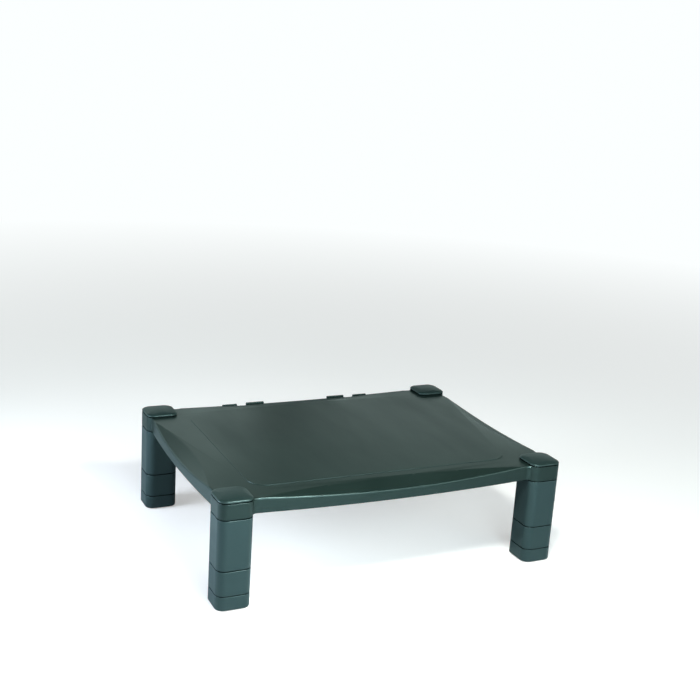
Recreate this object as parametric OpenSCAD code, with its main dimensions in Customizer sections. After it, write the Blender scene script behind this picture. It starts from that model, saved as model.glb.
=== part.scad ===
// Stackable riser that lifts a monitor above a desk and leaves a bay for a
// notebook or keyboard below. A ribbed, moulded platform stands on four legs,
// and each leg is a stack of hollow sections that plug into one another.
// Origin: centre of the footprint, on the desk. X to the right, Y to the rear.

/* [Overall size] */
// Width over the legs
riser_w = 432; // [400:1:460]
// Depth over the legs
riser_d = 326; // [300:1:350]

/* [Leg sections] */
// Side of the square sections
leg_side = 40; // [38:0.5:44]
// Radius of their upright corners
leg_r = 10; // [8:0.5:12]
// Height of a foot's seam above the desk
foot_h = 18.2; // [17:0.1:24]
// Height of a short column, which is one height step
step_h = 29.5; // [26:0.5:34]
// Wall of the hollow sections
leg_wall = 2.8; // [2.4:0.1:3.4]
// Height of the spigot that plugs into the section above
spigot_h = 10; // [8:0.5:11]
// Gap all round a spigot
spigot_gap = 0.2; // [0.1:0.05:0.4]
// Width and depth of the shadow line at each seam
seam = 0.8; // [0.3:0.1:1.2]
// Thickness of a rubber foot pad
pad_t = 2; // [1.5:0.1:2.5]
// How far a pad stands below its foot
pad_proud = 0.8; // [0.5:0.1:1.2]

/* [Platform] */
// Height of the skirt round the deck
skirt_h = 17.8; // [16.5:0.1:20]
// Wall of the moulded platform
shell = 2.8; // [2.4:0.1:3.2]
// How far the front and rear skirts bow out between the legs
front_bow = 8.6; // [4:0.2:10]
// How far the side skirts bow out between the legs
side_bow = 5; // [3:0.2:7]
// Radius of the hollow curve that leads each skirt into a corner block
blend_r = 8; // [4:0.5:10]
// Widest part of the sloping facet along the front and rear edges
front_facet_w = 25.7; // [20:0.1:30]
// How far that facet falls to the skirt
front_facet_drop = 5.4; // [4:0.1:6]
// Widest part of the sloping facet along the sides
side_facet_w = 20; // [16:0.5:24]
// How far that facet falls to the skirt
side_facet_drop = 5.9; // [4:0.1:6.5]
// Half length of the raised panel on the deck, left to right
panel_x = 166; // [150:1:170]
// Half length of the raised panel, front to rear
panel_y = 124; // [100:1:128]
// Height of the raised panel above the deck
panel_rise = 0.4; // [0.3:0.1:0.8]

/* [Cable notches] */
// Distance of each notch from the middle of the rear edge
notch_x = 79; // [70:1:90]
// Width of a notch
notch_w = 14; // [10:1:18]
// Depth of a notch into the rear edge
notch_d = 10; // [8:1:14]
// Height of the lips beside the notches over the lowest point of the rear edge
lip_h = 4; // [2:0.1:5]

/* [Corner caps] */
// Height of a corner block's seam above the deck
cap_seat = 1.2; // [0.8:0.1:2]
// Height of a cap's upright edge
cap_edge = 2.2; // [1.5:0.1:3]
// Height of the crown over that edge
cap_crown = 2.2; // [1:0.1:2.5]
// Side of the pocket that takes a cap's plug
pocket_side = 31; // [28:0.5:32]
// Length of a cap's plug
plug_h = 4.6; // [3:0.2:4.8]

/* [Hidden] */
$fn = 96;
bow_fn = 256;
over = 1;
front = -1;
rear = 1;
left = -1;
right = 1;

leg_x = riser_w / 2 - leg_side / 2;
leg_y = riser_d / 2 - leg_side / 2;
chord_x = riser_w / 2 - leg_side;
chord_y = riser_d / 2 - leg_side;

tall_h = 2 * step_h;
short_z = foot_h;
tall_z = short_z + step_h;
skirt_z = tall_z + tall_h;
deck_z = skirt_z + skirt_h;
block_top = deck_z + cap_seat;

socket_side = leg_side - 2 * leg_wall;
spigot_side = socket_side - 2 * spigot_gap;
socket_h = spigot_h + 1.5;
pocket_z = block_top - plug_h - 0.5;
plug_side = pocket_side - 2 * spigot_gap;
pad_side = 30;

// Skirts stand just behind the blocks' front and rear faces.
edge_x = riser_w / 2;
edge_y = riser_d / 2 - 0.8;
// The facets run out this far before they reach the corner blocks.
front_facet_end = 9;
side_facet_end = 12;
panel_r = 22;
rib_t = 2;
rib_z = skirt_z + 4;
rib_pitch_x = 62;
rib_pitch_y = 56;

// Radius of an arc that rises by bow over half_chord.
function arc_r(half_chord, bow) = (half_chord * half_chord + bow * bow) / (2 * bow);

front_r = arc_r(chord_x, front_bow);
side_r = arc_r(chord_y, side_bow);

// How far the front or side edge has fallen back, this far from its middle.
function front_sag(x) = front_r - sqrt(front_r * front_r - x * x);
function side_sag(y) = side_r - sqrt(side_r * side_r - y * y);

// How far a blend's hollow curve runs into the skirt and into the block.
blend_bite = 0.05;

// Distance along the skirt from a corner's centre to where the blend meets the skirt.
function blend_reach(skirt_y) = sqrt(pow(leg_r + blend_r - blend_bite, 2) - pow(blend_r - skirt_y, 2));

// ---- Shared shapes ----

module rounded_rect(w, d, r) {
    square([w, d - 2 * r], center = true);
    square([w - 2 * r, d], center = true);
    for (sx = [-1, 1], sy = [-1, 1])
        translate([sx * (w / 2 - r), sy * (d / 2 - r)])
            circle(r);
}

module rounded_post(side, r, z, h) {
    translate([0, 0, z])
        linear_extrude(h)
            rounded_rect(side, side, r);
}

module at_corner(side, end) {
    translate([side * leg_x, end * leg_y, 0])
        children();
}

module at_corners() {
    for (side = [left, right], end = [front, rear])
        at_corner(side, end)
            children();
}

// Outer body of a leg section. Its top steps in, which leaves the shadow line.
module section_body(z, h) {
    rounded_post(leg_side, leg_r, z, h - seam);
    rounded_post(leg_side - 2 * seam, leg_r - seam, z, h);
}

// Plug on top of a leg section, which fits the socket of the one above.
module spigot(z) {
    rounded_post(spigot_side, spigot_side / 2 - socket_side / 2 + leg_r - leg_wall, z, spigot_h);
}

module socket(z, h) {
    rounded_post(socket_side, leg_r - leg_wall, z, h);
}

// ---- Leg sections ----

// A column is open below and closed at its shoulder, with a cross rib inside.
module column(z, h) {
    shoulder = 3;
    rib_start = z + socket_h;
    difference() {
        union() {
            section_body(z, h);
            spigot(z + h - over);
        }
        difference() {
            socket(z - over, h + over - shoulder);
            translate([-leg_side / 2, -rib_t / 2, rib_start])
                cube([leg_side, rib_t, h]);
            translate([-rib_t / 2, -leg_side / 2, rib_start])
                cube([rib_t, leg_side, h]);
        }
        rounded_post(spigot_side - 2 * leg_wall, 4, z + h, spigot_h);
    }
}

module tall_column() {
    color([0.16, 0.19, 0.2])
        column(tall_z, tall_h);
}

module short_column() {
    color([0.15, 0.18, 0.19])
        column(short_z, step_h);
}

// A foot is a closed cup with a recess below for its pad.
module foot() {
    floor_t = 4;
    color([0.14, 0.17, 0.18])
        difference() {
            union() {
                section_body(pad_proud, foot_h - pad_proud);
                spigot(foot_h - over);
            }
            rounded_post(spigot_side - 2 * leg_wall, 4, pad_proud + floor_t, foot_h + spigot_h);
            rounded_post(pad_side + 2 * spigot_gap, 5, 0, pad_t);
        }
}

module foot_pad() {
    color([0.08, 0.08, 0.08])
        rounded_post(pad_side, 5 - spigot_gap, 0, pad_t);
}

// ---- Corner cap ----

// A domed lid over the corner block, with a hollow plug below it.
module corner_cap() {
    edge_top = block_top + cap_edge;
    corner_reach = leg_side / 2 * sqrt(2) - leg_r * (sqrt(2) - 1);
    dome_r = arc_r(corner_reach, cap_crown);
    color([0.17, 0.2, 0.21])
        difference() {
            union() {
                intersection() {
                    rounded_post(leg_side, leg_r, block_top, cap_edge + cap_crown);
                    translate([0, 0, edge_top + cap_crown - dome_r])
                        sphere(dome_r, $fn = bow_fn);
                }
                rounded_post(plug_side, 5, block_top - plug_h, plug_h + over);
            }
            rounded_post(plug_side - 2 * leg_wall, 3, block_top - plug_h - over, plug_h + over);
        }
}

// ---- Platform ----

// Plan of the platform between its bowed skirts, drawn in by inset.
module bowed_plan(inset) {
    intersection() {
        square([2 * edge_x, 2 * edge_y], center = true);
        intersection_for (s = [-1, 1])
            translate([0, s * (front_r - edge_y)])
                circle(front_r - inset, $fn = bow_fn);
        intersection_for (s = [-1, 1])
            translate([s * (side_r - edge_x), 0])
                circle(side_r - inset, $fn = bow_fn);
    }
}

// Post that leads a skirt into the round corner of a block in a hollow curve. The
// corner's centre is at the origin. The skirt runs along +X, skirt_y above it.
module blend_post(skirt_y) {
    down = skirt_y + blend_bite - blend_r;
    along = blend_reach(skirt_y + blend_bite);
    translate([0, 0, skirt_z])
        linear_extrude(skirt_h)
            difference() {
                polygon([[0, 0], [0, over], [along, skirt_y + over], [along, down]]);
                translate([along, down])
                    circle(blend_r);
            }
}

// The eight blends, two to a corner block.
module blend_posts() {
    front_step = riser_d / 2 - leg_r - edge_y;
    side_step = riser_w / 2 - leg_r - edge_x;
    front_meets = chord_x + leg_r - blend_reach(front_step + front_bow);
    side_meets = chord_y + leg_r - blend_reach(side_step + side_bow);
    for (mx = [0, 1], my = [0, 1])
        mirror([mx, 0, 0])
            mirror([0, my, 0]) {
                translate([-chord_x - leg_r, leg_r - riser_d / 2, 0])
                    blend_post(front_step + front_sag(front_meets));
                translate([leg_r - riser_w / 2, -chord_y - leg_r, 0])
                    mirror([1, -1, 0])
                        blend_post(side_step + side_sag(side_meets));
            }
}

// Cone whose flank is one sloping facet, as deep as drop at the skirt.
module facet_cone(crease_r, facet_w, drop, z) {
    slope = drop / facet_w;
    depth = drop + over;
    translate([0, 0, z - depth])
        cylinder(h = depth + over, r1 = crease_r - depth / slope, r2 = crease_r + over / slope, $fn = bow_fn);
}

// The four facets along the edges of the deck at height z.
module facets(z) {
    front_half = chord_x - front_facet_end;
    front_crease_r = arc_r(front_half, front_facet_w - front_sag(front_half));
    side_half = chord_y - side_facet_end;
    side_crease_r = arc_r(side_half, side_facet_w - side_sag(side_half));
    for (s = [-1, 1])
        translate([0, s * (edge_y - front_facet_w + front_crease_r), 0])
            facet_cone(front_crease_r, front_facet_w, front_facet_drop, z);
    for (s = [-1, 1])
        translate([s * (edge_x - side_facet_w + side_crease_r), 0, 0])
            facet_cone(side_crease_r, side_facet_w, side_facet_drop, z);
}

module notch_plan(grow) {
    w = notch_w + 2 * grow;
    d = notch_d + grow;
    for (side = [left, right])
        translate([side * notch_x - w / 2, edge_y - d])
            square([w, d + over + grow]);
}

module ribs() {
    for (i = [-2 : 2])
        translate([i * rib_pitch_x - rib_t / 2, -riser_d / 2, rib_z])
            cube([rib_t, riser_d, skirt_h]);
    for (i = [-2 : 2])
        translate([-riser_w / 2, i * rib_pitch_y - rib_t / 2, rib_z])
            cube([riser_w, rib_t, skirt_h]);
}

// Hollow under the deck: what the ribs, blocks and notch walls leave free.
module hollow() {
    difference() {
        translate([0, 0, skirt_z - over])
            linear_extrude(skirt_h + over - shell)
                bowed_plan(shell);
        facets(deck_z - shell);
        at_corners()
            rounded_post(leg_side, leg_r, skirt_z - 2 * over, skirt_h + 2 * over);
        ribs();
        translate([0, 0, skirt_z - 2 * over])
            linear_extrude(skirt_h + 2 * over)
                notch_plan(shell);
    }
}

// Low lips on the rear edge, one on each side of each notch.
module notch_lips() {
    lip_t = 3;
    inner_l = 25;
    outer_l = 20;
    lip_top = deck_z - front_facet_drop + lip_h;
    for (side = [left, right], outward = [-1, 1]) {
        lip_l = outward > 0 ? outer_l : inner_l;
        centre = notch_x + outward * (notch_w / 2 + lip_l / 2);
        translate([side * centre - lip_l / 2, edge_y - front_sag(centre) - lip_t, skirt_z + shell])
            cube([lip_l, lip_t - 0.5, lip_top - skirt_z - shell]);
    }
}

module deck_shell() {
    difference() {
        translate([0, 0, skirt_z])
            linear_extrude(skirt_h)
                bowed_plan(0);
        facets(deck_z);
    }
    translate([0, 0, deck_z - over])
        linear_extrude(over + panel_rise)
            rounded_rect(2 * panel_x, 2 * panel_y, panel_r);
}

module corner_block() {
    rounded_post(leg_side, leg_r, skirt_z, block_top - seam - skirt_z);
    rounded_post(leg_side - 2 * seam, leg_r - seam, skirt_z, block_top - skirt_z);
}

module platform() {
    color([0.2, 0.24, 0.24])
        difference() {
            union() {
                difference() {
                    union() {
                        deck_shell();
                        notch_lips();
                    }
                    hollow();
                }
                blend_posts();
                at_corners()
                    corner_block();
            }
            at_corners() {
                socket(skirt_z - over, socket_h + over);
                rounded_post(pocket_side, 5 + spigot_gap, pocket_z, plug_h + over);
            }
            translate([0, 0, skirt_z - over])
                linear_extrude(skirt_h + 4 * over)
                    notch_plan(0);
        }
}

platform();
at_corner(left, front) corner_cap();  // corner_cap_front_left
at_corner(right, front) corner_cap();  // corner_cap_front_right
at_corner(left, rear) corner_cap();  // corner_cap_rear_left
at_corner(right, rear) corner_cap();  // corner_cap_rear_right
at_corner(left, front) tall_column();  // tall_column_front_left
at_corner(right, front) tall_column();  // tall_column_front_right
at_corner(left, rear) tall_column();  // tall_column_rear_left
at_corner(right, rear) tall_column();  // tall_column_rear_right
at_corner(left, front) short_column();  // short_column_front_left
at_corner(right, front) short_column();  // short_column_front_right
at_corner(left, rear) short_column();  // short_column_rear_left
at_corner(right, rear) short_column();  // short_column_rear_right
at_corner(left, front) foot();  // foot_front_left
at_corner(right, front) foot();  // foot_front_right
at_corner(left, rear) foot();  // foot_rear_left
at_corner(right, rear) foot();  // foot_rear_right
at_corner(left, front) foot_pad();  // foot_pad_front_left
at_corner(right, front) foot_pad();  // foot_pad_front_right
at_corner(left, rear) foot_pad();  // foot_pad_rear_left
at_corner(right, rear) foot_pad();  // foot_pad_rear_right
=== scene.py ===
"""Looks of a stackable monitor riser: moulded platform, corner caps and plug-in leg sections."""

import math

import bmesh
import bpy
from mathutils import Matrix, Vector
from mathutils.geometry import tessellate_polygon


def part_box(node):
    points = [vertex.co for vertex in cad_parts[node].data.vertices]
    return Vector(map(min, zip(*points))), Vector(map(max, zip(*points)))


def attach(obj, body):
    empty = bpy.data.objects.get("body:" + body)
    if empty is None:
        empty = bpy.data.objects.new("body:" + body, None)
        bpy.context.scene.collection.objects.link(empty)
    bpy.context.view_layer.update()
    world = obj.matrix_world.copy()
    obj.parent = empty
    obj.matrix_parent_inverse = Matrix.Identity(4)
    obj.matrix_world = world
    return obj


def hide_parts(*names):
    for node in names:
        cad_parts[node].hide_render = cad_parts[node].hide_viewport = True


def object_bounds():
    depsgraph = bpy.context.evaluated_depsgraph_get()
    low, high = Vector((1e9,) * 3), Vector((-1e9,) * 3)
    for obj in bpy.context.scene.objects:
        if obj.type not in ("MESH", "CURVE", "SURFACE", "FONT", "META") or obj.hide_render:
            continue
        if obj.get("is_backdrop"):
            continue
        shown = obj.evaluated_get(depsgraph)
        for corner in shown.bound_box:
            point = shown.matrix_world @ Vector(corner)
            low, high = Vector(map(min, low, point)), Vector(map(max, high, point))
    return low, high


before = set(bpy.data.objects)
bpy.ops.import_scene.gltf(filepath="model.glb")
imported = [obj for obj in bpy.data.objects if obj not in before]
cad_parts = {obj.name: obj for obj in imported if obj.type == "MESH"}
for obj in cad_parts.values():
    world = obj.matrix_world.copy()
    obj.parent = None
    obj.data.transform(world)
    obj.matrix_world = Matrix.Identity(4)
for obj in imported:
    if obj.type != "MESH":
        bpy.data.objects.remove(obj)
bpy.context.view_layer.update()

MM = 0.001
CORNERS = ("front_left", "front_right", "rear_left", "rear_right")


# ---- Sizes, from the frame, in millimetres ----

def box_mm(node):
    low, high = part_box(node)
    return low / MM, high / MM


platform_low, platform_high = box_mm("platform")
_, cap_high = box_mm("corner_cap_front_right")
tall_low, tall_high = box_mm("tall_column_front_right")
short_low, _ = box_mm("short_column_front_right")
foot_low, _ = box_mm("foot_front_right")
pad_low, pad_high = box_mm("foot_pad_front_right")

HALF_W = platform_high.x
HALF_D = platform_high.y
SKIRT_Z = platform_low.z
BLOCK_TOP = platform_high.z
TALL_Z = tall_low.z
SHORT_Z = short_low.z
SPIGOT_H = tall_high.z - SKIRT_Z
LEG_HALF = (tall_high.x - tall_low.x) / 2
LEG_X = HALF_W - LEG_HALF
LEG_Y = HALF_D - LEG_HALF
PAD_HALF = (pad_high.x - pad_low.x) / 2

# Sizes of the design that no box shows.
LEG_R = 10.0                       # corners of legs, blocks and caps
LEG_WALL = 2.8
SPIGOT_GAP = 0.2
SECTION_FLOOR = 3.0                # between a column's socket and its spigot's well
CROSS_RIB_Z = 11.5                 # lower end of a column's inner ribs, above its lower edge
SEAM, SEAM_DEPTH = 1.25, 2.0       # groove where two pieces meet
POCKET_HALF, PLUG_H = 15.5, 4.6    # a cap's pocket in the block, and its plug

SHELL = 2.8
DECK_Z = BLOCK_TOP - 1.2
PANEL_X, PANEL_Y, PANEL_R, PANEL_RISE = 166.0, 124.0, 22.0, 0.4
NOTCH_X, NOTCH_W, NOTCH_D = 79.0, 14.0, 10.0
LIP_TOP = DECK_Z - 1.4
LIP_INSET, LIP_HALF = 1.9, 1.3     # middle of the rear lips behind the edge, and half their width
EDGE_X, EDGE_Y = HALF_W, HALF_D - 0.8
FRONT_BOW, FRONT_FACET_W, FRONT_FACET_DROP, FRONT_FACET_END = 8.6, 25.7, 5.4, 9.0
SIDE_BOW, SIDE_FACET_W, SIDE_FACET_DROP, SIDE_FACET_END = 5.0, 20.0, 5.9, 12.0
BLEND_R, BLEND_BITE = 8.0, 0.25    # hollow curve into a block, and how far it runs into the block
TOP_ROUND, SKIRT_ROUND = 2.2, 0.9
RIB_STEP_X, RIB_STEP_Y, RIB_BITE = 62.0, 56.0, 0.7

CAP_EDGE = 2.2                     # height of a cap's dome over its corners
PILLOW_W, PILLOW_H = 4.5, 1.5      # soft edge of a cap's top
GRIP_HALF, GRIP_LIFT = 16.0, 0.9   # finger gap below a cap's inner sides


def arc_radius(half_chord, bow):
    return (half_chord * half_chord + bow * bow) / (2 * bow)


class Side:
    """One bowed edge of the platform, seen with the edge along u and v pointing outward."""

    def __init__(self, edge, half_chord, bow, facet_w, drop, facet_end, corner_u, corner_v):
        self.edge = edge
        self.radius = arc_radius(half_chord, bow)
        half = half_chord - facet_end
        self.crease_r = arc_radius(half, facet_w - self.sag(half))
        self.crease_v = edge - facet_w
        self.slope = drop / facet_w
        self.corner = (corner_u, corner_v)

    def sag(self, u):
        return self.radius - math.sqrt(self.radius ** 2 - u * u)

    def edge_v(self, u):
        return self.edge - self.sag(u)

    def crease(self, u):
        return self.crease_v + self.crease_r - math.sqrt(self.crease_r ** 2 - u * u)

    def fall(self, u, v):
        """How far the sloping facet lies below the deck."""
        reach = math.hypot(u, v - self.crease_v - self.crease_r)
        return max(0.0, (self.crease_r - reach) * self.slope)

    def outline(self, skirt_steps, blend_steps):
        """Points (u, v) and outward normals from one corner block to the next, in rising u."""
        corner_u, corner_v = self.corner
        v = self.edge_v(corner_u)
        for _ in range(3):
            centre_v = v - 0.03 + BLEND_R
            reach = LEG_R + BLEND_R - BLEND_BITE
            centre_u = corner_u - math.sqrt(reach ** 2 - (centre_v - corner_v) ** 2)
            v = self.edge_v(centre_u)
        half = []
        for i in range(skirt_steps + 1):
            u = centre_u * i / skirt_steps
            lean = u / self.radius
            half.append(((u, self.edge_v(u)), (math.sin(lean), math.cos(lean))))
        turn = math.atan2(corner_u - centre_u, centre_v - corner_v)
        for i in range(1, blend_steps + 1):
            a = turn * i / blend_steps
            point = (centre_u + BLEND_R * math.sin(a), centre_v - BLEND_R * math.cos(a))
            half.append((point, (-math.sin(a), math.cos(a))))
        mirrored = [((-p[0], p[1]), (-n[0], n[1])) for p, n in reversed(half[1:])]
        return mirrored + half


FRONT = Side(EDGE_Y, LEG_X - LEG_HALF, FRONT_BOW, FRONT_FACET_W, FRONT_FACET_DROP, FRONT_FACET_END,
             HALF_W - 2 * LEG_HALF + LEG_R, HALF_D - LEG_R)
FLANK = Side(EDGE_X, LEG_Y - LEG_HALF, SIDE_BOW, SIDE_FACET_W, SIDE_FACET_DROP, SIDE_FACET_END,
             HALF_D - 2 * LEG_HALF + LEG_R, HALF_W - LEG_R)


def deck_height(x, y):
    return DECK_Z - max(FRONT.fall(x, abs(y)), FLANK.fall(y, abs(x)))


# ---- Mesh helpers ----

def rounded_square(half_x, half_y, r, steps=8):
    """Counter-clockwise outline of a rounded rectangle."""
    points = []
    for quarter, (sx, sy) in enumerate(((1, 1), (-1, 1), (-1, -1), (1, -1))):
        for k in range(steps + 1):
            a = math.radians(90 * (quarter + k / steps))
            points.append((sx * (half_x - r) + r * math.cos(a), sy * (half_y - r) + r * math.sin(a)))
    return points


def ring(half, r, z, steps=8):
    return [(x, y, z) for x, y in rounded_square(half, half, r, steps)]


def loft(rings):
    """Closed body through rings of equal length, which run counter-clockwise seen from outside the end."""
    bm = bmesh.new()
    loops = [[bm.verts.new(Vector(p) * MM) for p in points] for points in rings]
    count = len(loops[0])
    for a, b in zip(loops, loops[1:]):
        for i in range(count):
            j = (i + 1) % count
            bm.faces.new((a[i], a[j], b[j], b[i]))
    bm.faces.new(list(reversed(loops[0])))
    bm.faces.new(loops[-1])
    return bm


def to_object(bm, name):
    bmesh.ops.recalc_face_normals(bm, faces=bm.faces)
    mesh = bpy.data.meshes.new(name)
    bm.to_mesh(mesh)
    bm.free()
    obj = bpy.data.objects.new(name, mesh)
    bpy.context.scene.collection.objects.link(obj)
    return obj


def apply_modifiers(obj):
    graph = bpy.context.evaluated_depsgraph_get()
    mesh = bpy.data.meshes.new_from_object(obj.evaluated_get(graph))
    obj.modifiers.clear()
    old = obj.data
    obj.data = mesh
    bpy.data.meshes.remove(old)


def boolean(obj, operation, tool_bm):
    """Applies an exact boolean with a tool mesh, and deletes the tool."""
    tool = to_object(tool_bm, "tool")
    step = obj.modifiers.new("cut", "BOOLEAN")
    step.operation = operation
    step.solver = "EXACT"
    step.object = tool
    apply_modifiers(obj)
    bpy.data.objects.remove(tool)


def merge(*meshes):
    """One bmesh that holds several."""
    out = bmesh.new()
    for bm in meshes:
        mesh = bpy.data.meshes.new("part")
        bm.to_mesh(mesh)
        bm.free()
        out.from_mesh(mesh)
        bpy.data.meshes.remove(mesh)
    return out


def block(low, high):
    bm = bmesh.new()
    low, high = Vector(low) * MM, Vector(high) * MM
    bmesh.ops.create_cube(bm, size=1.0)
    for v in bm.verts:
        v.co = Vector((low[i] + (v.co[i] + 0.5) * (high[i] - low[i]) for i in range(3)))
    return bm


def moved(bm, x, y, z=0.0):
    bmesh.ops.translate(bm, verts=bm.verts, vec=Vector((x, y, z)) * MM)
    return bm


def shade(obj, sharp_deg=38):
    """Smooth shading that keeps hard edges, with flat faces kept flat."""
    bm = bmesh.new()
    bm.from_mesh(obj.data)
    limit = math.radians(sharp_deg)
    for face in bm.faces:
        face.smooth = True
    for edge in bm.edges:
        edge.smooth = len(edge.link_faces) == 2 and edge.calc_face_angle(0.0) < limit
    bm.to_mesh(obj.data)
    bm.free()
    normals = obj.modifiers.new("normals", "WEIGHTED_NORMAL")
    normals.keep_sharp = True
    normals.weight = 80


def rounded_edge(half, r, z, size, rising, steps=4):
    """Rings round a quarter edge. rising: from the underside out and up; else from the side in to the top."""
    rings = []
    for i in range(steps + 1):
        a = math.radians(90 * i / steps)
        if rising:
            inset, lift = size * (1 - math.sin(a)), size * (1 - math.cos(a))
        else:
            inset, lift = size * (1 - math.cos(a)), size * (math.sin(a) - 1)
        rings.append(ring(half - inset, max(r - inset, 0.5), z + lift))
    return rings


# ---- Leg sections, modelled about their own axis ----

def section_rings(z, top, well_floor, edge_round=0.3, edge_steps=4):
    """Outer face of a section from its lower edge, over its shoulder and spigot, into the spigot's well."""
    socket_half = LEG_HALF - LEG_WALL
    spigot_half = socket_half - SPIGOT_GAP
    spigot_r = LEG_R - LEG_WALL - SPIGOT_GAP
    well_half = spigot_half - LEG_WALL
    neck = LEG_HALF - SEAM_DEPTH
    rings = rounded_edge(LEG_HALF, LEG_R, z, edge_round, True, edge_steps)
    rings += rounded_edge(LEG_HALF, LEG_R, top - SEAM, 0.5, False)
    rings.append(ring(neck, LEG_R - SEAM_DEPTH, top - SEAM))
    rings.append(ring(neck, LEG_R - SEAM_DEPTH, top))
    rings.append(ring(spigot_half, spigot_r, top))
    rings += rounded_edge(spigot_half, spigot_r, top + SPIGOT_H, 0.6, False)
    rings.append(ring(well_half + 0.3, 4.3, top + SPIGOT_H))
    rings.append(ring(well_half, 4.0, top + SPIGOT_H - 0.3))
    rings.append(ring(well_half, 4.0, well_floor))
    return rings


def column_mesh(z, top, name):
    """Leg section from z to top, with a socket below, a spigot above and four short ribs in its socket."""
    socket_half = LEG_HALF - LEG_WALL
    socket_r = LEG_R - LEG_WALL
    ceiling = top - SECTION_FLOOR
    rings = [ring(socket_half, socket_r, ceiling), ring(socket_half, socket_r, z + 0.5),
             ring(socket_half + 0.5, socket_r + 0.5, z)]
    obj = to_object(loft(rings + section_rings(z, top, top)), name)
    reach = socket_half + 0.5
    for x, y in ((reach, 1), (1, reach)):
        boolean(obj, "UNION", block((-x, -y, z + CROSS_RIB_Z), (x, y, ceiling + 0.5)))
    shade(obj)
    return obj


def foot_mesh(name):
    """Lowest section, with a softer lower edge and a shallow recess for its pad."""
    recess_half = PAD_HALF + SPIGOT_GAP
    rings = [ring(recess_half, 5.0, pad_high.z), ring(recess_half, 5.0, foot_low.z)]
    rings += section_rings(foot_low.z, SHORT_Z, foot_low.z + 4.0, 1.1, 5)
    obj = to_object(loft(rings), name)
    shade(obj)
    return obj


def pad_mesh(name):
    """Rubber pad with fine concentric grooves in its sole."""
    sole = pad_low.z
    rings = [ring(PAD_HALF, 4.8, pad_high.z), ring(PAD_HALF, 4.8, sole + 0.3)]
    rings.append(ring(PAD_HALF - 0.3, 4.5, sole))
    half = PAD_HALF - 1.6
    while half > 3:
        for shrink, depth in ((0.0, 0.0), (0.25, 0.35), (0.85, 0.35), (1.1, 0.0)):
            side = half - shrink
            rings.append(ring(side, max(side * 0.3, 0.8), sole + depth))
        half -= 2.2
    obj = to_object(loft(rings), name)
    shade(obj, 50)
    return obj


def grip_lift(x, y):
    """How far a cap's lower edge rises over the deck, on its two inner sides."""
    inner_side = 1 - LEG_HALF
    along = y if x < inner_side else x if y < inner_side else GRIP_HALF
    return GRIP_LIFT * max(0.0, 1 - (along / GRIP_HALF) ** 2)


def cap_mesh(name):
    """Pillow-shaped lid over a hollow plug. Its inner sides face -X and -Y."""
    corner_reach = LEG_HALF * math.sqrt(2) - LEG_R * (math.sqrt(2) - 1)
    crown = cap_high.z - BLOCK_TOP - CAP_EDGE
    dome_r = arc_radius(corner_reach, crown)

    def dome(x, y):
        return cap_high.z - dome_r + math.sqrt(dome_r ** 2 - x * x - y * y)

    plug_half = POCKET_HALF - SPIGOT_GAP
    well_half = plug_half - LEG_WALL
    rings = [ring(well_half, 3.0, BLOCK_TOP - 0.2), ring(well_half, 3.0, BLOCK_TOP - PLUG_H),
             ring(plug_half - 0.4, 4.6, BLOCK_TOP - PLUG_H), ring(plug_half, 5.0, BLOCK_TOP - PLUG_H + 0.4),
             ring(plug_half, 5.0, BLOCK_TOP)]
    for points in rounded_edge(LEG_HALF, LEG_R, BLOCK_TOP, 0.3, True):
        rings.append([(x, y, z + grip_lift(x, y)) for x, y, z in points])
    steps = 8
    for i in range(steps + 1):
        a = math.radians(90 * i / steps)
        inset = PILLOW_W * (1 - math.cos(a))
        points = rounded_square(LEG_HALF - inset, LEG_HALF - inset, LEG_R - inset)
        rings.append([(x, y, dome(x, y) - PILLOW_H * (1 - math.sin(a))) for x, y in points])
    for share in (0.72, 0.62, 0.5, 0.38, 0.26, 0.13):
        side = LEG_HALF * share
        points = rounded_square(side, side, side * (0.95 - 0.45 * share))
        rings.append([(x, y, dome(x, y)) for x, y in points])
    obj = to_object(loft(rings), name)
    shade(obj, 40)
    return obj


# ---- Platform ----

# Outline of the raised panel: how far outside it, how far above the deck.
PANEL_RINGS = ((0.25, 0.0), (0.0, 0.05), (-0.05, 0.2), (-0.15, PANEL_RISE - 0.06), (-0.4, PANEL_RISE))


def skirt_profile(point, normal, crease_point):
    """Section through the shell at one point of its outline, from the underside of the deck
    round the skirt to the crease of the deck, as 3D points."""
    px, py = point
    nx, ny = normal

    def at(inset, z):
        return (px - nx * inset, py - ny * inset, z)

    edge_z = deck_height(px, py)
    crease_d = math.hypot(crease_point[0] - px, crease_point[1] - py)
    step = 0.5
    near = deck_height(px - nx * step, py - ny * step)
    slope = max(0.0, (near - edge_z) / step)
    alpha = math.atan(slope) * min(1.0, crease_d / (2 * TOP_ROUND))
    rows = [(*crease_point, DECK_Z - SHELL)]
    inner_x, inner_y, _ = at(SHELL, 0)
    rows.append(at(SHELL, min(deck_height(inner_x, inner_y), DECK_Z) - SHELL))
    rows.append(at(SHELL, SKIRT_Z + 0.3))
    rows.append(at(SHELL - 0.3, SKIRT_Z))
    for i in range(5):
        a = math.radians(90 * i / 4)
        rows.append(at(SKIRT_ROUND * (1 - math.sin(a)), SKIRT_Z + SKIRT_ROUND * (1 - math.cos(a))))
    centre_z = edge_z + math.tan(alpha) * TOP_ROUND - TOP_ROUND / math.cos(alpha)
    steps = 7
    for i in range(steps + 1):
        a = (math.pi / 2 - alpha) * i / steps
        rows.append(at(TOP_ROUND * (1 - math.cos(a)), centre_z + TOP_ROUND * math.sin(a)))
    tx, ty, _ = rows[-1]
    facet_steps = 5
    for i in range(1, facet_steps + 1):
        share = i / facet_steps
        x = tx + (crease_point[0] - tx) * share
        y = ty + (crease_point[1] - ty) * share
        rows.append((x, y, deck_height(x, y)))
    return rows


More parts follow.
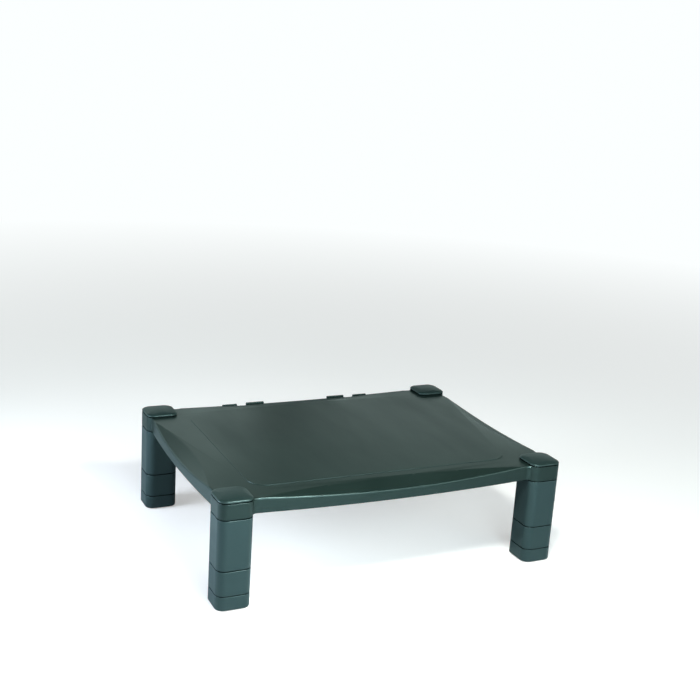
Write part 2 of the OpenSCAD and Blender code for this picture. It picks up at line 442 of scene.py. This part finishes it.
def side_columns(side, to_plan, skirt_steps):
    """Profiles along one edge. to_plan turns (u, v) of that edge into (x, y)."""
    columns = []
    outline = side.outline(skirt_steps, 8)
    for (u, v), (nu, nv) in outline:
        least = TOP_ROUND + 1.6
        if abs(u) < side.corner[0] - LEG_R - BLEND_R:
            depth = max(v - side.crease(u), least)
            crease = (u, v - depth)
        else:
            crease = (u - nu * least, v - nv * least)
        columns.append(skirt_profile(to_plan(u, v), to_plan(nu, nv), to_plan(*crease)))
    return columns


def platform_shell():
    """Deck with its panel, facets and skirt as one closed shell of even thickness."""
    columns = side_columns(FRONT, lambda u, v: (u, -v), 52)
    columns += side_columns(FLANK, lambda u, v: (v, u), 36)
    columns += side_columns(FRONT, lambda u, v: (-u, v), 52)
    columns += side_columns(FLANK, lambda u, v: (-v, -u), 36)
    bm = bmesh.new()
    grid = [[bm.verts.new(Vector(p) * MM) for p in column] for column in columns]
    count = len(grid)
    for i in range(count):
        here, there = grid[i], grid[(i + 1) % count]
        for r in range(len(here) - 1):
            bm.faces.new((here[r], there[r], there[r + 1], here[r + 1]))
    bm.faces.new([column[0] for column in reversed(grid)])
    crease = [column[-1] for column in grid]
    panel = []
    for grow, rise in PANEL_RINGS:
        points = rounded_square(PANEL_X + grow, PANEL_Y + grow, PANEL_R + grow, 14)
        panel.append([bm.verts.new(Vector((x, y, DECK_Z + rise)) * MM) for x, y in points])
    for a, b in zip(panel, panel[1:]):
        for i in range(len(a)):
            j = (i + 1) % len(a)
            bm.faces.new((a[i], a[j], b[j], b[i]))
    bm.faces.new(panel[-1])
    loops = [crease, list(reversed(panel[0]))]
    flat = [v for loop in loops for v in loop]
    for tri in tessellate_polygon([[v.co for v in loop] for loop in loops]):
        bm.faces.new([flat[i] for i in tri])
    return bm


def corner_post():
    """Block of the platform over one leg, up to its cap's seam."""
    seam_z = BLOCK_TOP - SEAM
    rings = rounded_edge(LEG_HALF, LEG_R, SKIRT_Z, 0.35, True)
    rings += rounded_edge(LEG_HALF, LEG_R, seam_z, 0.4, False)
    rings.append(ring(LEG_HALF - SEAM_DEPTH, LEG_R - SEAM_DEPTH, seam_z))
    rings.append(ring(LEG_HALF - SEAM_DEPTH, LEG_R - SEAM_DEPTH, BLOCK_TOP))
    return loft(rings)


def post(half, r, low, high):
    return loft([ring(half, r, low), ring(half, r, high)])


def at_corners(make):
    return merge(*(moved(make(), sx * LEG_X, sy * LEG_Y) for sx in (-1, 1) for sy in (-1, 1)))


def notch_lip(centre, length):
    """Low rounded lip on the rear edge."""
    y = FRONT.edge_v(centre) - LIP_INSET
    low = (centre - length / 2, y - LIP_HALF, SKIRT_Z + 6)
    bm = block(low, (centre + length / 2, y + LIP_HALF, LIP_TOP))
    upper = [e for e in bm.edges if all(v.co.z > (SKIRT_Z + 7) * MM for v in e.verts)]
    bmesh.ops.bevel(bm, geom=upper, offset=0.6 * MM, segments=3, affect="EDGES", profile=0.5)
    return bm


def rib(centre, half_length, along_x):
    """Stiffening rib, which follows the underside of the deck down to the skirts at both ends."""
    low = SKIRT_Z + 4
    sections = []
    for i in range(-20, 21):
        s = half_length * i / 20
        x, y = (s, centre) if along_x else (centre, s)
        top = deck_height(x, y) - SHELL + RIB_BITE
        profile = ((-1, low + 0.4), (-0.6, low), (0.6, low), (1, low + 0.4), (1, top), (-1, top))
        sections.append([(s, centre + w, z) if along_x else (centre - w, s, z) for w, z in profile])
    return loft(sections)


def platform_mesh():
    """Platform as one closed body: shell, ribs, lips, notch walls and corner blocks, then the cuts."""
    obj = to_object(platform_shell(), "platform_moulding")
    inside = RIB_BITE - SHELL
    across = [i * RIB_STEP_X for i in range(-2, 3)]
    along = [i * RIB_STEP_Y for i in range(-2, 3)]
    lips = []
    for side in (-1, 1):
        for outward, length in ((-1, 25.0), (1, 20.0)):
            centre = NOTCH_X + outward * (NOTCH_W / 2 + length / 2)
            lips.append(notch_lip(side * centre, length))
    wall_reach = NOTCH_W / 2 + SHELL
    walls = [block((s * NOTCH_X - wall_reach, EDGE_Y - NOTCH_D - SHELL, SKIRT_Z + 0.2),
                   (s * NOTCH_X + wall_reach, EDGE_Y - SHELL, DECK_Z - SHELL - 1.5)) for s in (-1, 1)]
    boolean(obj, "UNION", merge(*walls))
    boolean(obj, "UNION", merge(*lips))
    boolean(obj, "UNION", merge(*(rib(x, FRONT.edge_v(x) + inside, False) for x in across)))
    boolean(obj, "UNION", merge(*(rib(y, FLANK.edge_v(y) + inside, True) for y in along)))
    boolean(obj, "UNION", at_corners(corner_post))
    boolean(obj, "DIFFERENCE", at_corners(
        lambda: post(LEG_HALF - LEG_WALL, LEG_R - LEG_WALL, SKIRT_Z - 1, SKIRT_Z + SPIGOT_H + 1.5)))
    boolean(obj, "DIFFERENCE", at_corners(
        lambda: post(POCKET_HALF, 5.2, BLOCK_TOP - PLUG_H - 0.5, BLOCK_TOP + 1)))
    notches = [block((s * NOTCH_X - NOTCH_W / 2, EDGE_Y - NOTCH_D, SKIRT_Z - 1),
                     (s * NOTCH_X + NOTCH_W / 2, EDGE_Y + 2, DECK_Z + 4)) for s in (-1, 1)]
    boolean(obj, "DIFFERENCE", merge(*notches))
    shade(obj)
    return obj


# ---- Materials ----

class Nodes:
    """Short calls that build a material's node tree."""

    def __init__(self, name):
        self.material = bpy.data.materials.new(name)
        self.material.use_nodes = True
        self.tree = self.material.node_tree
        self.bsdf = self.tree.nodes["Principled BSDF"]
        self.place = self.add("ShaderNodeTexCoord").outputs["Object"]

    def add(self, kind, **settings):
        node = self.tree.nodes.new(kind)
        for key, value in settings.items():
            if key in node.inputs:
                self.set(node.inputs[key], value)
            else:
                setattr(node, key, value)
        return node

    def set(self, socket, value):
        if isinstance(value, bpy.types.NodeSocket):
            self.tree.links.new(value, socket)
        else:
            socket.default_value = value

    def noise(self, scale, detail=3.0, roughness=0.55, stretch=None):
        vector = self.place
        if stretch:
            vector = self.add("ShaderNodeMapping", Vector=vector, Scale=stretch).outputs[0]
        node = self.add("ShaderNodeTexNoise", Vector=vector, Scale=scale, Detail=detail, Roughness=roughness)
        return node.outputs["Fac"]

    def remap(self, value, low, high, to_low=0.0, to_high=1.0):
        node = self.add("ShaderNodeMapRange", clamp=True)
        for socket, number in zip(node.inputs, (value, low, high, to_low, to_high)):
            self.set(socket, number)
        return node.outputs[0]

    def math(self, operation, a, b):
        node = self.add("ShaderNodeMath", operation=operation)
        self.set(node.inputs[0], a)
        self.set(node.inputs[1], b)
        return node.outputs[0]

    def mix(self, share, a, b):
        node = self.add("ShaderNodeMix", data_type="RGBA")
        self.set(node.inputs["Factor"], share)
        self.set(node.inputs[6], a)
        self.set(node.inputs[7], b)
        return node.outputs[2]

    def blend(self, share, a, b):
        """Mixes two shaders."""
        node = self.add("ShaderNodeMixShader")
        for socket, value in zip(node.inputs, (share, a, b)):
            self.set(socket, value)
        return node.outputs[0]

    def edges(self, radius):
        """1 on edges and corners, fading to 0 on faces."""
        bevel = self.add("ShaderNodeBevel", samples=4, Radius=radius * MM).outputs[0]
        plain = self.add("ShaderNodeNewGeometry").outputs["Normal"]
        node = self.add("ShaderNodeVectorMath", operation="DOT_PRODUCT")
        self.set(node.inputs[0], bevel)
        self.set(node.inputs[1], plain)
        return self.remap(node.outputs["Value"], 0.99, 0.86)

    def crevice_shade_mask(self, reach):
        """Mask for painted shade: 0 deep in seams and corners, where the shade is painted, 1 in the open."""
        node = self.add("ShaderNodeAmbientOcclusion", samples=4, Distance=reach * MM)
        return self.remap(node.outputs["AO"], 0.25, 0.8)

    def bump(self, layers):
        """layers: (height, distance in mm, strength), the coarsest first."""
        normal = None
        for height, distance, strength in layers:
            node = self.add("ShaderNodeBump", Height=height, Distance=distance * MM, Strength=strength)
            if normal:
                self.set(node.inputs["Normal"], normal)
            normal = node.outputs[0]
        self.set(self.bsdf.inputs["Normal"], normal)


def moulded_plastic(name, colour, lighter, roughness, grain=1.0, dust=0.0):
    """Semi-matte moulded plastic: fine pebble grain, faint flow marks, rubbed edges, a little dust, and
    painted shade in seams and corners.
    """
    n = Nodes(name)
    cloud = n.noise(9.0, 4.0, 0.6)
    speckle = n.noise(2400.0, 2.0)
    flow = n.noise(26.0, 3.0, 0.5, (1.0, 0.25, 1.0))
    base = n.mix(n.remap(cloud, 0.3, 0.7), colour, lighter)
    base = n.mix(n.remap(speckle, 0.45, 0.75, 0.0, 0.22), base, [c * 1.5 for c in lighter[:3]] + [1])
    worn = n.math("MULTIPLY", n.edges(0.8), n.remap(n.noise(160.0), 0.4, 0.68, 0.05, 0.4))
    base = n.mix(worn, base, [min(1.0, c * 2.2 + 0.01) for c in lighter[:3]] + [1])
    if dust:
        cells = n.add("ShaderNodeTexVoronoi", Vector=n.place, Scale=150.0, feature="F1")
        size = n.math("MULTIPLY", n.remap(cells.outputs["Color"], 0.93, 1.0, 0.0, 1.0), 0.07)
        speck = n.math("LESS_THAN", cells.outputs["Distance"], size)
        base = n.mix(n.math("MULTIPLY", speck, dust), base, (0.55, 0.58, 0.57, 1))
    clear_of_painted_shade = n.crevice_shade_mask(2.5)
    # Painted shade: the colour goes near black deep in seams and corners, and the reflection fades there too.
    base = n.mix(clear_of_painted_shade, (0.001, 0.0015, 0.0015, 1), base)
    n.set(n.bsdf.inputs["Base Color"], base)
    n.set(n.bsdf.inputs["Specular IOR Level"], n.math("MULTIPLY", clear_of_painted_shade, 0.5))
    rough = n.remap(n.math("ADD", flow, n.math("MULTIPLY", speckle, 0.3)), 0.4, 0.95,
                    roughness - 0.05, roughness + 0.07)
    n.set(n.bsdf.inputs["Roughness"], rough)
    n.bsdf.inputs["IOR"].default_value = 1.5
    n.bsdf.inputs["Specular Tint"].default_value = (0.82, 1.0, 0.98, 1)
    pebble = n.add("ShaderNodeTexVoronoi", Vector=n.place, Scale=900.0, feature="SMOOTH_F1")
    n.bump(((flow, 0.02, 0.1), (pebble.outputs["Distance"], 0.05, 0.35 * grain),
            (speckle, 0.03, 0.4 * grain)))
    return n.material


def rubber(name):
    n = Nodes(name)
    base = n.mix(n.remap(n.noise(60.0), 0.35, 0.7), (0.012, 0.012, 0.013, 1), (0.03, 0.03, 0.031, 1))
    n.set(n.bsdf.inputs["Base Color"], base)
    n.set(n.bsdf.inputs["Roughness"], n.remap(n.noise(300.0), 0.3, 0.7, 0.72, 0.92))
    n.bump(((n.noise(1500.0), 0.06, 0.5),))
    return n.material


# ---- Pieces ----

# The material of each of the record's material slots.
FINISHES = {
    "platform_plastic": moulded_plastic(
        "platform_plastic", (0.005, 0.0095, 0.0078, 1), (0.008, 0.0135, 0.0112, 1), 0.33, 1.0, 0.5),
    "cap_plastic": moulded_plastic(
        "cap_plastic", (0.009, 0.0155, 0.0142, 1), (0.012, 0.0195, 0.0180, 1), 0.40, 0.7),
    "leg_plastic": moulded_plastic(
        "leg_plastic", (0.016, 0.026, 0.027, 1), (0.021, 0.032, 0.033, 1), 0.33, 0.8, 0.6),
    "pad_rubber": rubber("pad_rubber"),
}


def dress(obj, slot):
    obj.data.materials.clear()
    obj.data.materials.append(FINISHES[slot])


platform = platform_mesh()
dress(platform, "platform_plastic")
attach(platform, "platform")
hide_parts("platform")

# Node, name of the piece, its shape and material slot, and the body that it rides on.
KINDS = (
    ("corner_cap", "domed_cap", cap_mesh("cap_shape"), "cap_plastic", "corner_cap"),
    ("tall_column", "tall_section", column_mesh(TALL_Z, SKIRT_Z, "tall_shape"), "leg_plastic",
     "tall_column"),
    ("short_column", "short_section", column_mesh(SHORT_Z, TALL_Z, "short_shape"), "leg_plastic",
     "short_column"),
    ("foot", "foot_section", foot_mesh("foot_shape"), "leg_plastic", "foot"),
    ("foot_pad", "sole_pad", pad_mesh("pad_shape"), "pad_rubber", "foot"),
)


def copy_to_corner(shape, corner):
    """Copy of a shape, mirrored so that its inner sides face the middle of the platform."""
    piece = shape.copy()
    piece.data = shape.data.copy()
    flip = [1 if word in corner else -1 for word in ("right", "rear")]
    piece.data.transform(Matrix.Diagonal((*flip, 1, 1)))
    if flip[0] * flip[1] < 0:
        piece.data.flip_normals()
    bpy.context.scene.collection.objects.link(piece)
    return piece


for node, piece_name, shape, slot, body in KINDS:
    for corner in CORNERS:
        low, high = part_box(f"{node}_{corner}")
        piece = copy_to_corner(shape, corner)
        dress(piece, slot)
        piece.name = f"{piece_name}_{corner}"
        piece.location = ((low.x + high.x) / 2, (low.y + high.y) / 2, 0)
        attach(piece, f"{body}_{corner}")
        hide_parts(f"{node}_{corner}")
    bpy.data.objects.remove(shape)


# ---- Floor, light and camera ----

FLOOR_HALF = 12.0
FLOOR_Z = -0.3
FADE = (0.7, 2.4)
SURROUND = (0.97, 1.0, 1.0)


def floor():
    """Pale floor, which shows its shadows to the camera but sends little light back up. It fades into
    the surround, and is clear from below, so that the underside can be looked at."""
    bm = bmesh.new()
    bmesh.ops.create_grid(bm, x_segments=1, y_segments=1, size=FLOOR_HALF)
    obj = to_object(moved(bm, 0, 0, FLOOR_Z), "floor")
    n = Nodes("floor")
    rays = n.add("ShaderNodeLightPath").outputs
    bounce = n.mix(rays["Is Glossy Ray"], (0.08, 0.08, 0.08, 1), (0.45, 0.47, 0.48, 1))
    n.set(n.bsdf.inputs["Base Color"], n.mix(rays["Is Camera Ray"], bounce, (0.75, 0.62, 0.60, 1)))
    n.bsdf.inputs["Emission Color"].default_value = (1.0, 1.0, 1.0, 1)
    n.set(n.bsdf.inputs["Emission Strength"], n.math("MULTIPLY", rays["Is Camera Ray"], 0.4))
    n.bsdf.inputs["Roughness"].default_value = 0.9
    n.bsdf.inputs["Specular IOR Level"].default_value = 0.0
    distance = n.add("ShaderNodeVectorMath", operation="LENGTH")
    n.set(distance.inputs[0], n.place)
    away = n.remap(distance.outputs["Value"], *FADE)
    horizon = n.add("ShaderNodeEmission", Color=(*SURROUND, 1)).outputs[0]
    fading = n.blend(n.math("MULTIPLY", away, rays["Is Camera Ray"]), n.bsdf.outputs[0], horizon)
    clear = n.add("ShaderNodeBsdfTransparent").outputs[0]
    below = n.add("ShaderNodeNewGeometry").outputs["Backfacing"]
    n.set(n.tree.nodes["Material Output"].inputs["Surface"], n.blend(below, fading, clear))
    obj.data.materials.append(n.material)
    obj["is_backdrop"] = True


floor()


def studio_world():
    """White surround for the camera, dim for everything else, so that the panels model the light."""
    world = bpy.data.worlds.new("studio")
    world.use_nodes = True
    tree = world.node_tree
    background = tree.nodes["Background"]
    background.inputs["Color"].default_value = (*SURROUND, 1)
    rays = tree.nodes.new("ShaderNodeLightPath")
    level = tree.nodes.new("ShaderNodeMapRange")
    tree.links.new(rays.outputs["Is Camera Ray"], level.inputs["Value"])
    level.inputs["To Min"].default_value = 0.02
    level.inputs["To Max"].default_value = 1.0
    tree.links.new(level.outputs[0], background.inputs["Strength"])
    bpy.context.scene.world = world


studio_world()

def area_light(name, width, height, energy, colour, matrix):
    """Soft light that shines along its -Z, unseen by the camera."""
    data = bpy.data.lights.new(name, "AREA")
    data.shape = "RECTANGLE"
    data.size = width
    data.size_y = height
    data.energy = energy
    data.color = colour
    obj = bpy.data.objects.new(name, data)
    obj.matrix_world = matrix
    obj.visible_camera = False
    bpy.context.scene.collection.objects.link(obj)


DOME = 3.0
COOL = (0.70, 1.0, 1.06)
PLAIN = (0.80, 1.0, 0.96)
BLUE = (0.75, 1.0, 1.18)

# Soft panels on a dome of that radius: azimuth from the rear towards the right, elevation, width and
# height in degrees, then brightness and colour.
PANELS = (
    ("front_right", 137, 28, 45, 18, 4.7, PLAIN),
    ("front", 174, 30, 46, 20, 5.4, COOL),
    ("front_high", 180, 52, 50, 20, 1.6, COOL),
    ("front_left_high", 235, 54, 50, 20, 0.3, COOL),
    ("left", 268, 30, 45, 20, 3.0, COOL),
    ("rear_left", 316, 21, 42, 15, 2.0, COOL),
    ("rear", 355, 18, 50, 20, 1.05, PLAIN),
    ("rear_right", 42, 14, 40, 12, 1.3, PLAIN),
)

# Small softboxes close to the riser: place, target, size, power and colour.
SOFTBOXES = (
    ("near_front", (-0.12, -0.9, 0.36), (-0.2, -0.16, 0.06), 0.35, 6.0, COOL),
    ("spark", (-0.01, -0.36, 0.56), (-0.13, -0.158, 0.12), 0.09, 4.6, PLAIN),
    ("near_left", (-0.7, 0.1, 0.3), (-0.2, -0.14, 0.08), 0.3, 4.4, BLUE),
)

for name, azimuth, elevation, width_deg, height_deg, brightness, colour in PANELS:
    az, el = math.radians(azimuth), math.radians(elevation)
    back = Vector((math.sin(az) * math.cos(el), math.cos(az) * math.cos(el), math.sin(el)))
    right = Vector((0, 0, 1)).cross(back).normalized()
    turn = Matrix((right, back.cross(right), back)).transposed().to_4x4()
    width = DOME * math.radians(width_deg) * max(math.cos(el), 0.5)
    height = DOME * math.radians(height_deg)
    area_light(name, width, height, math.pi * width * height * brightness, colour,
               Matrix.Translation(back * DOME) @ turn)

for name, place, target, size, power, colour in SOFTBOXES:
    turn = (Vector(target) - Vector(place)).to_track_quat("-Z", "Y").to_matrix().to_4x4()
    area_light(name, size, size, power, colour, Matrix.Translation(place) @ turn)


def photo_camera():
    """Camera at the photograph's viewing angle: position, azimuth, elevation, roll and lens."""
    azimuth, elevation, roll = math.radians(-25.82), math.radians(15.28), math.radians(3.743)
    back = Vector((math.sin(azimuth) * math.cos(elevation), -math.cos(azimuth) * math.cos(elevation),
                   math.sin(elevation)))
    right = (-back).cross(Vector((0, 0, 1))).normalized()
    up = right.cross(-back)
    x_axis = math.cos(roll) * right + math.sin(roll) * up
    y_axis = math.cos(roll) * up - math.sin(roll) * right
    data = bpy.data.cameras.new("camera")
    data.sensor_width = 36
    data.lens = 57.52
    data.clip_end = 50
    obj = bpy.data.objects.new("camera", data)
    bpy.context.scene.collection.objects.link(obj)
    turn = Matrix((x_axis, y_axis, back)).transposed().to_4x4()
    obj.matrix_world = Matrix.Translation((-0.57499, -1.19057, 0.5978)) @ turn
    bpy.context.scene.camera = obj


photo_camera()
bpy.context.scene.view_settings.view_transform = "Standard"

bpy.context.view_layer.update()
low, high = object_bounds()
